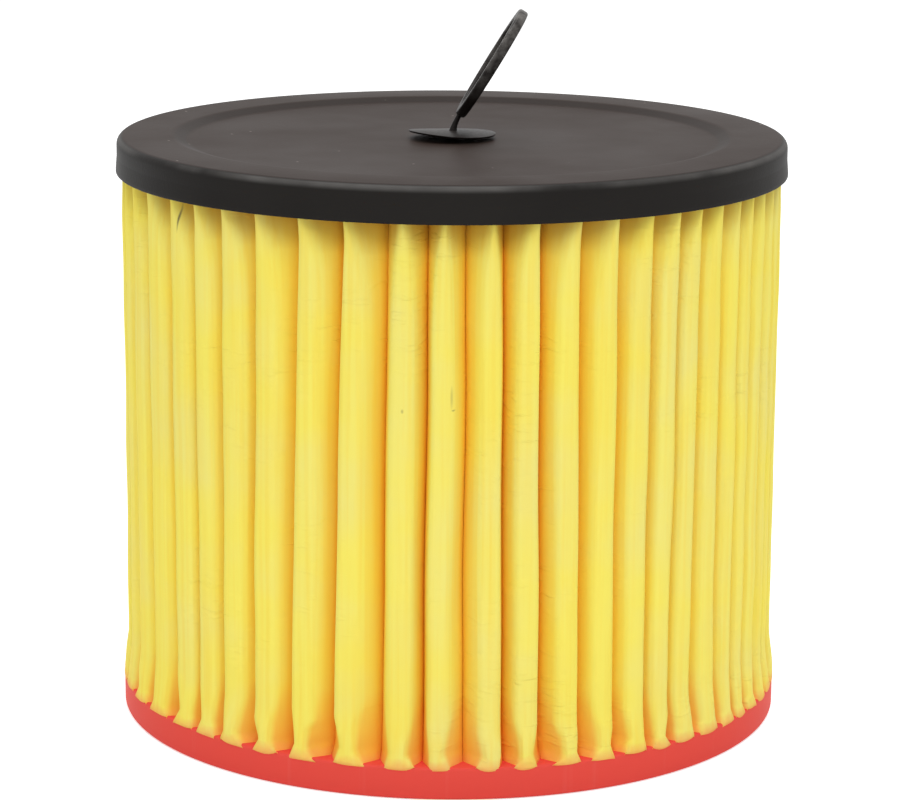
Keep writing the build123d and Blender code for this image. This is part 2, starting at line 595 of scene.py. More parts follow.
@dataclass(frozen=True)
class MouldedPolypropylene(Finish):
    """Polypropylene moulded against a fine spark-eroded tool, black with a brown cast.

    The grain breaks the reflection of the room into a soft grey sheen at low angles. What faces up has a thin
    brown film and a few pale specks of dust, and a pale highlight is painted along the rounded edge.
    """

    worn_colour: str = "#272523"
    film_colour: str = "#2a211d"
    # painted highlight: the rounded edge of the cap is painted this pale grey
    edge_highlight_colour: str = "#5a5856"
    dust_colour: str = "#9a928a"
    cloud_mm: float = 34.0
    cloud_range: Span = (0.3, 0.7)
    shine_spread: float = 0.04
    # how far up a surface faces, as the upright part of its normal
    lying_range: Span = (0.9, 0.98)
    edge_low_range: Span = (0.15, 0.55)
    edge_high_range: Span = (0.95, 0.8)
    grain_mm: float = 0.9  # a real tool's grain is about 0.2, which wouldn't show
    grain_depth_mm: float = 0.03
    dust_mm: float = 5.0
    dust_size_mm: float = 0.45
    dust_share: float = 0.1
    dust_strength: float = 0.6

    def detail(self, tree: bpy.types.NodeTree, shader: bpy.types.Node) -> None:
        """Add clouded colour, film, a painted highlight on the rounded edge, dust and grain.

        Args:
            tree: the material's node tree.
            shader: its surface shader.
        """
        place = add_node(tree, "ShaderNodeTexCoord").outputs["Object"]
        clouds = add_node(
            tree, "ShaderNodeTexNoise", {"Vector": place, "Scale": per(self.cloud_mm), "Detail": 4.0}
        ).outputs["Fac"]
        low, high = self.cloud_range
        smooth, rough = self.roughness - self.shine_spread, self.roughness + self.shine_spread
        shine = add_node(tree, "ShaderNodeMapRange", {0: clouds, 1: low, 2: high, 3: smooth, 4: rough})
        tree.links.new(shine.outputs[0], shader.inputs["Roughness"])
        normal = add_node(tree, "ShaderNodeNewGeometry").outputs["Normal"]
        facing_up = add_node(tree, "ShaderNodeSeparateXYZ", {0: normal}).outputs["Z"]
        start, full = self.lying_range
        lying = add_node(tree, "ShaderNodeMapRange", {0: facing_up, 1: start, 2: full})
        # painted highlight: where the normal slants between the skirt and the top, on the rounded edge
        start, full = self.edge_low_range
        above_skirt = add_node(tree, "ShaderNodeMapRange", {0: facing_up, 1: start, 2: full})
        start, full = self.edge_high_range
        on_edge = add_node(
            tree, "ShaderNodeMapRange", {0: facing_up, 1: start, 2: full, 4: above_skirt.outputs[0]}
        )
        edge_highlight = add_node(tree, "ShaderNodeMapRange", {0: clouds, 1: low, 2: high, 4: on_edge.outputs[0]})
        specks = add_node(tree, "ShaderNodeTexVoronoi", {"Vector": place, "Scale": per(self.dust_mm)})
        rim = self.dust_size_mm / self.dust_mm
        speck = add_node(
            tree,
            "ShaderNodeMapRange",
            {0: specks.outputs["Distance"], 1: rim, 2: rim / 2, 4: self.dust_strength},
        )
        lot = add_node(tree, "ShaderNodeSeparateColor", {0: specks.outputs["Color"]}).outputs[0]
        dust = add_node(tree, "ShaderNodeMath", {0: lot, 1: self.dust_share}, operation="LESS_THAN")
        for factor in (speck, lying):
            dust = add_node(
                tree, "ShaderNodeMath", {0: factor.outputs[0], 1: dust.outputs[0]}, operation="MULTIPLY"
            )
        colour: Any = linear(self.colour)
        for share, over in (
            (clouds, self.worn_colour),
            (lying.outputs[0], self.film_colour),
            (edge_highlight.outputs[0], self.edge_highlight_colour),
            (dust.outputs[0], self.dust_colour),
        ):
            inputs = {0: share, 6: colour, 7: linear(over)}
            colour = add_node(tree, "ShaderNodeMix", inputs, data_type="RGBA").outputs[2]
        tree.links.new(colour, shader.inputs["Base Color"])
        grain = add_node(
            tree, "ShaderNodeTexNoise", {"Vector": place, "Scale": per(self.grain_mm), "Detail": 2.0}
        )
        bump = add_node(
            tree,
            "ShaderNodeBump",
            {"Height": grain.outputs["Fac"], "Distance": self.grain_depth_mm * MM, "Strength": 1.0},
        )
        tree.links.new(bump.outputs[0], shader.inputs["Normal"])


@dataclass(frozen=True)
class CastPlastisol(Finish):
    """Soft PVC compound cast in an open tray and baked.

    It is smooth and satin, with slow waves where it set and faint upright streaks from leaving the tray.
    """

    cloud_colour: str = "#e85047"
    streak_colour: str = "#ea6a62"
    cloud_mm: float = 35.0
    streak_mm: float = 2.6
    streak_length_mm: float = 120.0
    streak_range: Span = (0.6, 0.8)
    streak_share: float = 0.3
    wave_mm: float = 9.0
    wave_depth_mm: float = 0.05

    def detail(self, tree: bpy.types.NodeTree, shader: bpy.types.Node) -> None:
        """Add clouded colour, upright streaks and slow waves.

        Args:
            tree: the material's node tree.
            shader: its surface shader.
        """
        place = add_node(tree, "ShaderNodeTexCoord").outputs["Object"]
        clouds = add_node(
            tree, "ShaderNodeTexNoise", {"Vector": place, "Scale": per(self.cloud_mm), "Detail": 2.0}
        )
        upright = add_node(
            tree,
            "ShaderNodeMapping",
            {"Vector": place, "Scale": (per(self.streak_mm),) * 2 + (per(self.streak_length_mm),)},
        )
        streaks = add_node(tree, "ShaderNodeTexNoise", {"Vector": upright.outputs[0], "Scale": 1.0})
        low, high = self.streak_range
        streak = add_node(
            tree, "ShaderNodeMapRange", {0: streaks.outputs["Fac"], 1: low, 2: high, 4: self.streak_share}
        )
        colour: Any = linear(self.colour)
        for share, over in (
            (clouds.outputs["Fac"], self.cloud_colour),
            (streak.outputs[0], self.streak_colour),
        ):
            inputs = {0: share, 6: colour, 7: linear(over)}
            colour = add_node(tree, "ShaderNodeMix", inputs, data_type="RGBA").outputs[2]
        tree.links.new(colour, shader.inputs["Base Color"])
        waves = add_node(tree, "ShaderNodeTexNoise", {"Vector": place, "Scale": per(self.wave_mm)})
        bump = add_node(
            tree,
            "ShaderNodeBump",
            {"Height": waves.outputs["Fac"], "Distance": self.wave_depth_mm * MM, "Strength": 1.0},
        )
        tree.links.new(bump.outputs[0], shader.inputs["Normal"])


@dataclass(frozen=True)
class MouldedMattPlastic(Finish):
    """A moulded plastic or set resin whose only detail is a fine grain and an uneven shine."""

    grain_mm: float = 0.9
    grain_depth_mm: float = 0.02
    shine_spread: float = 0.12

    def detail(self, tree: bpy.types.NodeTree, shader: bpy.types.Node) -> None:
        """Add the grain and the uneven shine.

        Args:
            tree: the material's node tree.
            shader: its surface shader.
        """
        place = add_node(tree, "ShaderNodeTexCoord").outputs["Object"]
        grain = add_node(
            tree, "ShaderNodeTexNoise", {"Vector": place, "Scale": per(self.grain_mm), "Detail": 3.0}
        )
        shine = add_node(
            tree,
            "ShaderNodeMapRange",
            {
                0: grain.outputs["Fac"],
                3: self.roughness - self.shine_spread,
                4: self.roughness + self.shine_spread,
            },
        )
        tree.links.new(shine.outputs[0], shader.inputs["Roughness"])
        bump = add_node(
            tree,
            "ShaderNodeBump",
            {"Height": grain.outputs["Fac"], "Distance": self.grain_depth_mm * MM, "Strength": 1.0},
        )
        tree.links.new(bump.outputs[0], shader.inputs["Normal"])


@dataclass(frozen=True)
class ScuffedHighlightedPolyethylene(MouldedMattPlastic):
    """Soft polyethylene, moulded black; the upper part that fingers pull is scuffed and painted lighter as
    highlight.
    """

    # painted highlight mixed with scuffs: the upper part of the ring is painted this lighter grey
    scuff_and_highlight_colour: str = "#5a5754"
    scuff_mm: float = 2.8
    scuff_range: Span = (0.34, 0.68)
    clean_unlit_height_mm: float = 166.0
    scuffed_lit_height_mm: float = 178.0

    def detail(self, tree: bpy.types.NodeTree, shader: bpy.types.Node) -> None:
        """Add the scuffs and the painted highlight on the upper part to the grain.

        Args:
            tree: the material's node tree.
            shader: its surface shader.
        """
        super().detail(tree, shader)
        place = add_node(tree, "ShaderNodeTexCoord").outputs["Object"]
        height = add_node(tree, "ShaderNodeSeparateXYZ", {0: place}).outputs["Z"]
        # painted highlight with scuffs: lighter from the clean height up to the scuffed height
        handled_and_lit = add_node(
            tree,
            "ShaderNodeMapRange",
            {0: height, 1: self.clean_unlit_height_mm * MM, 2: self.scuffed_lit_height_mm * MM},
        )
        blotches = add_node(
            tree, "ShaderNodeTexNoise", {"Vector": place, "Scale": per(self.scuff_mm), "Detail": 4.0}
        )
        low, high = self.scuff_range
        blotch = add_node(tree, "ShaderNodeMapRange", {0: blotches.outputs["Fac"], 1: low, 2: high})
        scuff_and_highlight = add_node(
            tree, "ShaderNodeMath", {0: handled_and_lit.outputs[0], 1: blotch.outputs[0]}, operation="MULTIPLY"
        )
        scuffed_and_highlighted = add_node(
            tree,
            "ShaderNodeMix",
            {0: scuff_and_highlight.outputs[0], 6: linear(self.colour), 7: linear(self.scuff_and_highlight_colour)},
            data_type="RGBA",
        )
        tree.links.new(scuffed_and_highlighted.outputs[2], shader.inputs["Base Color"])


FILTER_PAPER = CreasedFilterPaper("pleated_resin_paper", "#f8ea68", 0.85, 1.5, 0.1)
CAP_PLASTIC = MouldedPolypropylene("moulded_black_polypropylene", "#1c1a19", 0.5, 1.49, 0.06)
RED_COMPOUND = CastPlastisol("cast_red_plastisol", "#e64f46", 0.55, 1.53, 0.06)
RING_PLASTIC = ScuffedHighlightedPolyethylene("moulded_black_polyethylene", "#1c1816", 0.42, 1.51, 0.12)
CORE_PLASTIC = MouldedMattPlastic("moulded_black_core_plastic", "#2a2a2a", 0.55, 1.49, 0.4)
GLUE = MouldedMattPlastic("set_casting_resin", "#cfc4a6", 0.4, 1.55, 0.5)


@dataclass(frozen=True)
class PleatSide:
    """How far one side of a pleat is filled out, and the slanting crease that pushes in its lower corner."""

    body: float
    rise_mm: float
    kept: float
    top: float


@dataclass(frozen=True)
class PleatHabit:
    """How one pleat differs from its neighbours."""

    drift_deg: float
    lean_deg: float
    wander_deg: float
    wander_phase: float
    ledge_mm: float
    foot_share: float
    foot_depth_mm: float
    hem_mm: tuple[float, float, float]
    left: PleatSide
    right: PleatSide
    top_draw_mm: float
    top_skew: float
    shoulder_mm: float


@dataclass
class PleatPack:
    """The sheet of filter paper, folded into pleats and closed into a ring."""

    count: int = 54
    crowding: float = 0.18
    shift: float = -0.15
    tip_radius: float = 88.5
    foot_radius: float = 90.15
    root_radius: float = 67.1
    gap: float = 0.06
    valley_width: float = 1.6
    lobe_depth: float = 7.5
    foot_depth: float = 5.0
    side_foot_depth: float = 2.2
    ridge_knee: float = 0.12
    lobe_knee: float = 0.8
    crown: float = 0.07
    flank_bend: float = 1.15
    thickness: float = 0.6
    tucked: float = 1.4
    sunk: float = 1.5
    belly_height: float = 42.0
    shoulder_height: float = 112.0
    face_steps: int = 3
    flank_steps: int = 4
    slot_steps: int = 3
    row_steps: tuple[int, ...] = (1, 5, 12, 5, 11, 14, 2)
    seat: float = 0.1
    hem_reach: float = 0.5
    valley_rise: float = 2.0
    foot_sweep: float = 14.0
    head_sweep: float = 12.0
    body_proud: float = 0.3
    hollow_bend: float = 0.5
    pinch_power: float = 1.25
    wander_half_turns: float = 2.2
    wander_fade: float = 4.0
    sharpest_turn: float = 0.6
    slow_waves: float = 0.3
    wave_across: float = 9.0
    wave_along: float = 18.0
    wave_fade: float = 8.0
    # pleats and feet each side of the front that stand open, and over how many more they close up
    open_pleats: int = 3
    open_feet: int = 1
    open_fade: int = 4
    beside_pleats: int = 7
    skewed_pleats: float = 2.5
    # the ranges that each pleat's habit is drawn from, and what closed-up pleats tend to
    drift_range: Span = (-0.6, 0.6)
    lean_range: Span = (-0.7, 0.7)
    facing_body: Span = (0.25, 0.6)
    facing_rise: Span = (5.0, 14.0)
    facing_kept: Span = (-0.9, 0.0)
    facing_top: Span = (-0.3, 0.15)
    filled_body: float = 0.85
    filled_kept: float = 0.6
    far_body: Span = (0.75, 1.0)
    far_rise: Span = (4.0, 10.0)
    far_kept: Span = (0.4, 0.95)
    far_top: Span = (0.05, 0.8)
    wander_range: Span = (0.05, 0.3)
    ledge_range: Span = (2.2, 3.6)
    foot_range: Span = (0.55, 0.95)
    closed_share: float = 0.8
    hem_ranges: tuple[Span, Span, Span] = ((-0.2, 0.8), (0.3, 1.0), (-0.2, 0.9))
    head_draw: float = 0.5
    head_skew: float = 0.75
    shoulder_range: Span = (9.0, 14.0)
    seed: int = 54
    # how far each front pleat sits off its even place and leans by the foot, in degrees
    front_drift: dict[int, float] = field(
        default_factory=lambda: {-10: -0.9, -9: -1.2, -8: -0.9, -7: 0.0, -6: -1.5, -5: -1.9, -4: -2.0}
        | {-3: -0.8, -2: -0.4, -1: 0.7, 0: 0.0, 1: 0.4, 2: 0.0, 3: 0.6}
        | {4: 0.8, 5: 1.7, 6: 1.7, 7: 1.0, 8: 0.7, 9: 1.0}
    )
    front_lean: dict[int, float] = field(
        default_factory=lambda: {-4: -0.6, -3: -2.2, -2: -1.2, -1: -0.3, 2: 0.3, 3: 0.8, 4: 0.6, 9: 0.8}
    )

    def __post_init__(self) -> None:
        """Take the heights from the solids and draw each pleat's habit."""
        self.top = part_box("pleated_media")[1].z / MM
        self.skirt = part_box("top_cap")[0].z / MM
        self.red_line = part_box("base_ring")[1].z / MM - self.seat
        self.foot = self.red_line - self.hem_reach
        draw = random.Random(self.seed)
        self.habits = [self.draw_habit(step, draw) for step in range(self.count)]

    def draw_habit(self, step: int, draw: random.Random) -> PleatHabit:
        """Draw one pleat's habit.

        Args:
            step: the pleat's number from the front.
            draw: the seeded source of chance.

        Returns:
            The pleat's habit.
        """
        from_front = step if step <= self.count // 2 else step - self.count
        aside = abs(from_front)
        drift, lean = draw.uniform(*self.drift_range), draw.uniform(*self.lean_range)
        beside = ease(aside / self.beside_pleats)
        filled = ease((aside - self.open_pleats) / self.open_fade)
        closed_foot = ease((aside - self.open_feet) / self.open_fade)
        facing = PleatSide(
            body=blend(draw.uniform(*self.facing_body), self.filled_body, filled),
            rise_mm=draw.uniform(*self.facing_rise),
            kept=blend(draw.uniform(*self.facing_kept), self.filled_kept, filled),
            top=draw.uniform(*self.facing_top),
        )
        far = PleatSide(
            body=draw.uniform(*self.far_body),
            rise_mm=draw.uniform(*self.far_rise),
            kept=draw.uniform(*self.far_kept),
            top=blend(*self.far_top, beside),
        )
        return PleatHabit(
            drift_deg=self.front_drift.get(from_front, drift),
            lean_deg=self.front_lean.get(from_front, lean),
            wander_deg=draw.uniform(*self.wander_range),
            wander_phase=draw.uniform(0, 2 * math.pi),
            ledge_mm=draw.uniform(*self.ledge_range),
            foot_share=blend(draw.uniform(*self.foot_range), 1.0, self.closed_share * closed_foot),
            foot_depth_mm=blend(self.foot_depth, self.side_foot_depth, closed_foot),
            hem_mm=tuple(draw.uniform(*span) for span in self.hem_ranges),
            left=facing if from_front > 0 else far,
            right=far if from_front > 0 else facing,
            top_draw_mm=blend(self.head_draw, 0.0, beside),
            top_skew=math.copysign(self.head_skew * ease(aside / self.skewed_pleats), from_front),
            shoulder_mm=draw.uniform(*self.shoulder_range),
        )

    def even_angle(self, step: float) -> float:
        """Angle of a fold before chance."""
        even = 2 * math.pi * (step + self.shift) / self.count
        return even + self.crowding * (math.cos(even) - 1)

    def crest_angle(self, step: int, height: float) -> float:
        """Angle of a crest at a height.

        Args:
            step: the pleat's number, which may run past the last.
            height: height above the floor.

        Returns:
            The angle in radians.
        """
        habit = self.habits[step % self.count]
        fall = 1 - ease((height - self.foot) / (self.top - self.foot))
        fade = ease(self.wander_fade * fall) * ease(self.wander_fade * (1 - fall))
        wave = math.sin(self.wander_half_turns * math.pi * fall + habit.wander_phase) * fade
        turned_deg = habit.drift_deg + habit.lean_deg * fall + habit.wander_deg * wave
        return self.even_angle(step) + math.radians(turned_deg)

    def row_heights(self, habit: PleatHabit) -> list[float]:
        """Heights of the mesh rows of a pleat, closest where the paper bends most.

        Args:
            habit: the pleat's habit.

        Returns:
            The heights from the foot up.
        """
        ledge = self.red_line + habit.ledge_mm
        crease_top = ledge + max(habit.left.rise_mm, habit.right.rise_mm)
        keys = [self.foot, self.red_line, ledge, crease_top]
        keys += [self.belly_height, self.shoulder_height, self.skirt, self.top]
        rows = [self.foot]
        for low, high, count in zip(keys, keys[1:], self.row_steps):
            rows += [blend(low, high, (step + 1) / count) for step in range(count)]
        return rows

    def fullness(self, habit: PleatHabit, side: PleatSide, height: float) -> float:
        """How far one side of a pleat is filled out at a height.

        Args:
            habit: the pleat's habit.
            side: the habit of that side.
            height: height above the floor.

        Returns:
            1 is a round lobe, 0 a straight-sided ridge, and less than 0 a ridge with hollow sides.
        """
        ledge = self.red_line + habit.ledge_mm
        if height < ledge:
            return blend(habit.foot_share, side.kept, max(height - self.red_line, 0) / habit.ledge_mm)
        rise = min((height - ledge) / side.rise_mm, 1)
        share = blend(side.kept, side.body, (rise + ease(rise)) / 2)
        return blend(share, min(share, side.top), self.pinch(habit, height))

    def pinch(self, habit: PleatHabit, height: float) -> float:
        """How far the cap pinches a pleat at a height.

        Args:
            habit: the pleat's habit.
            height: height above the floor.

        Returns:
            1 at the cap's skirt and above, falling to 0 below it.
        """
        below_skirt = max(self.skirt - height, 0) / habit.shoulder_mm
        return math.exp(-(below_skirt**self.pinch_power))

    def tip(self, habit: PleatHabit, height: float) -> float:
        """Radius of a crest at a height: it stands out at the foot and draws in under the cap.

        Args:
            habit: the pleat's habit.
            height: height above the floor.

        Returns:
            The radius.
        """
        body = self.tip_radius + self.body_proud
        bottom = blend(self.foot_radius, body, ease((height - self.red_line) / self.foot_sweep))
        head = self.tip_radius - habit.top_draw_mm
        return blend(bottom, head, ease(1 - (self.skirt - height) / self.head_sweep))

    def side_points(
        self, half_pitch: float, share: float, tip: float, depth: float, aside: float
    ) -> list[Point]:
        """One side of a pleat's section, from just past its tip to the valley corner.

        Args:
            half_pitch: angle from the pleat's middle plane to the middle of the valley.
            share: how full that side is.
            tip: radius of the crest.
            depth: how far behind the crest the side almost touches the next pleat.
            aside: how far the crest stands off the middle plane towards that side.

        Returns:
            For each point, its distance from the pleat's middle plane and, along that plane, from the axis.
        """
        half_width = (tip - depth) * math.sin(half_pitch) - self.gap / 2
        corner = self.root_radius * math.sin(half_pitch) - self.valley_width / 2
        knee = blend(self.ridge_knee, self.lobe_knee, max(share, 0))
        hollow = blend(self.flank_bend, self.hollow_bend, max(-share, 0))
        points: list[Point] = []
        for step in range(1, self.face_steps + 1):
            out = step / self.face_steps
            points.append((blend(aside, half_width, knee * out), tip - depth * self.crown * out * out))
        for step in range(1, self.flank_steps + 1):
            down = step / self.flank_steps
            behind = blend(self.crown, 1, down**hollow)
            points.append((blend(aside, half_width, blend(knee, 1, down)), tip - depth * behind))
        for step in range(1, self.slot_steps + 1):
            down = step / self.slot_steps
            points.append((blend(half_width, corner, down), blend(tip - depth, self.root_radius, down)))
        return points

    def hem(self, habit: PleatHabit, place: float) -> float:
        """Height of the sheet's lower edge where it hangs over the red ring.

        Args:
            habit: the pleat's habit.
            place: place across the pleat's face, from -1 to 1.

        Returns:
            The height above the floor.
        """
        left, middle, right = habit.hem_mm
        return self.red_line - blend(middle, left if place < 0 else right, place * place)

    def section(self, step: int, height: float) -> list[Vector]:
        """Points of one pleat's outer face at a height, from its first valley corner to its last.

        Args:
            step: the pleat's number.
            height: height above the floor, before the lower edge is trimmed to its hem.

        Returns:
            The points in millimetres.
        """
        habit = self.habits[step]
        angle = self.crest_angle(step, height)
        tip = self.tip(habit, height) - (self.tucked if height < self.red_line else 0)
        depth = blend(habit.foot_depth_mm, self.lobe_depth, ease((height - self.red_line) / habit.ledge_mm))
        before, after = (abs(self.crest_angle(other, height) - angle) / 2 for other in (step - 1, step + 1))
        aside = habit.top_skew * self.pinch(habit, height) * (tip - depth) * (before + after) / 2
        left = self.side_points(before, self.fullness(habit, habit.left, height), tip, depth, -aside)
        right = self.side_points(after, self.fullness(habit, habit.right, height), tip, depth, aside)
        outline = [(-across, out) for across, out in reversed(left)] + [(aside, tip)] + right
        above_hem = min(max(height - self.red_line, 0) / habit.ledge_mm, 1)
        cos, sin = math.cos(angle), math.sin(angle)
        points: list[Vector] = []
        for index, (across, out) in enumerate(outline):
            place = (index - len(left)) / self.face_steps
            trim = self.hem(habit, place) - self.red_line if abs(place) <= 1 else -self.sunk
            point = Vector((out * sin + across * cos, -out * cos + across * sin, height))
            point.z += trim * (1 - above_hem)
            points.append(point)
        return points

    def valley_point(self, step: int, row: int, rows: Sequence[Sequence[float]]) -> Vector:
        """Middle of the valley before a pleat at one row, shared by the pleats on its two sides.

        Args:
            step: the pleat's number.
            row: the row's number, from the foot up.
            rows: the row heights of each pleat.

        Returns:
            The point in millimetres.
        """
        before = (step - 1) % self.count
        height = (rows[before][row] + rows[step][row]) / 2
        first, second = self.crest_angle(before, height), self.crest_angle(step, height)
        angle = (first - (2 * math.pi if step == 0 else 0) + second) / 2
        height -= self.sunk * (1 - min(max(height - self.red_line, 0) / self.valley_rise, 1))
        return Vector((self.root_radius * math.sin(angle), -self.root_radius * math.cos(angle), height))

    def outer_rows(self) -> list[list[Vector]]:
        """Points of the outer face, each row once round the filter.

        Returns:
            The rows from the foot up.
        """
        rows = [self.row_heights(habit) for habit in self.habits]
        grid: list[list[Vector]] = []
        for row in range(len(rows[0])):
            ring: list[Vector] = []
            for step in range(self.count):
                ring.append(self.valley_point(step, row, rows))
                ring += self.section(step, rows[step][row])
            grid.append(ring)
        return grid

    def crumple(self, grid: list[list[Vector]]) -> list[list[Vector]]:
        """Push the points in and out a little, as handled paper is never quite flat.

        Args:
            grid: rows of points.

        Returns:
            New rows of points.
        """
        rough: list[list[Vector]] = []
        for ring in grid:
            moved = []
            for point in ring:
                across = point.to_2d() / self.wave_across
                wave = noise.noise((across.x, across.y, point.z / self.wave_along)) * self.slow_waves
                outward = Vector((point.x, point.y, 0)).normalized()
                moved.append(point + outward * (wave * ease((point.z - self.red_line) / self.wave_fade)))
            rough.append(moved)
        return rough

    def inner_rows(self, grid: Sequence[Sequence[Vector]]) -> list[list[Vector]]:
        """Points of the inner face, one thickness behind the outer, square to each row's outline.

        Args:
            grid: rows of points on the outer face.

        Returns:
            Rows of points on the inner face.
        """
        behind: list[list[Vector]] = []
        for ring in grid:
            size = len(ring)
            inner = []
            for index, point in enumerate(ring):
                before, after = ring[index - 1], ring[(index + 1) % size]
                first = (point - before).to_2d().normalized()
                second = (after - point).to_2d().normalized()
                along = (first + second).normalized()
                inward = Vector((-along.y, along.x, 0))
                stretch = 1 / max(along.dot(first), self.sharpest_turn)
                inner.append(point + inward * (self.thickness * stretch))
            behind.append(inner)
        return behind

    def build(self) -> bpy.types.Object:
        """Make the folded sheet as one closed mesh.

        Returns:
            The new object.
        """
        outer = self.crumple(self.outer_rows())
        inner = self.inner_rows(outer[::2] if len(outer) % 2 else outer[:-1:2] + outer[-1:])
        size = len(outer[0])
        points = [point for ring in outer + inner for point in ring]
        faces: list[tuple[int, ...]] = []
        start = 0
        for rings, flip in ((outer, False), (inner, True)):
            for row in range(len(rings) - 1):
                low = start + row * size
                for column in range(size):
                    after = (column + 1) % size
                    quad = (low + column, low + after, low + size + after, low + size + column)
                    faces.append(quad[::-1] if flip else quad)
            start += len(rings) * size
        outer_top, inner_foot = (len(outer) - 1) * size, len(outer) * size
        inner_top = inner_foot + (len(inner) - 1) * size
        for column in range(size):
            after = (column + 1) % size
            faces.append((after, column, inner_foot + column, inner_foot + after))
            faces.append((outer_top + column, outer_top + after, inner_top + after, inner_top + column))
        piece = make_piece(
            "folded_paper", points, faces, FILTER_PAPER.material(), crease_deg=85
        )
        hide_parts("pleated_media")
        return piece


@dataclass
class FootRing:
    """The soft red ring that is cast round the feet of the pleats."""

    edge_radius: float = 0.8
    lead_in: float = 1.0
    bore_radius: float = 62.5
    bore_edge: float = 0.3
    edge_steps: int = 5
    segments: int = 216

    def build(self) -> bpy.types.Object:
        """Make the ring.

        Returns:
            The new object.
        """
        low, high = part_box("base_ring")
        radius, height = high.x / MM, high.z / MM
        corners = [
            (radius, low.z, self.edge_radius),
            (radius, height, self.edge_radius),
            (self.bore_radius, height, self.bore_edge),
            (self.bore_radius, self.lead_in, 0),
            (self.bore_radius + self.lead_in, low.z, 0),
        ]
        points, faces = turned(rounded_outline(corners, self.edge_steps), self.segments)
        piece = make_piece(
            "red_foot_ring", points, faces, RED_COMPOUND.material(), crease_deg=35
        )
        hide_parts("base_ring")
        return piece


@dataclass
class Cap:
    """The closed black cap over the heads of the pleats."""

    wall: float = 1.2
    edge_radius: float = 2.2
    swell_height: float = 4.5
    swell_proud: float = 0.3
    swell_radius: float = 2.0
    lip_height: float = 0.9
    lip_edge: float = 0.25
    fine_edge: float = 0.2
    rim_width: float = 15.0
    slope_width: float = 4.0
    recess_depth: float = 1.4
    blend_radius: float = 5.0
    dam_radius: float = 64.9
    dam_wall: float = 1.2
    glue_line: float = 149.9
    hole_radius: float = 1.8
    edge_steps: int = 6
    segments: int = 240

    def build(self) -> bpy.types.Object:
        """Make the cap.

        Returns:
            The new object.
        """
        low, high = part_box("top_cap")
        radius, top, skirt = high.x / MM - self.swell_proud, high.z / MM, low.z / MM
        recess = radius - self.rim_width
        sunk = top - self.recess_depth
        under = sunk - self.wall
        corners = [
            (self.hole_radius, sunk, 0),
            (recess - self.slope_width, sunk, self.blend_radius),
            (recess, top, self.blend_radius),
            (radius, top, self.edge_radius),
            (radius, skirt + self.swell_height, self.swell_radius),
            (radius + self.swell_proud, skirt + self.lip_height, self.fine_edge),
            (radius + self.swell_proud, skirt, self.lip_edge),
            (radius - self.wall, skirt, self.lip_edge),
            (radius - self.wall, top - self.wall, self.edge_radius - self.wall),
            (recess, top - self.wall, 0),
            (recess - self.slope_width, under, 0),
            (self.dam_radius, under, 0),
            (self.dam_radius, self.glue_line, self.fine_edge),
            (self.dam_radius - self.dam_wall, self.glue_line, self.fine_edge),
            (self.dam_radius - self.dam_wall, under, 0),
            (self.hole_radius, under, 0),
        ]
        points, faces = turned(rounded_outline(corners, self.edge_steps)[::-1], self.segments)
        piece = make_piece(
            "black_cap", points, faces, CAP_PLASTIC.material(), crease_deg=35
        )
        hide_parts("top_cap")
        return piece


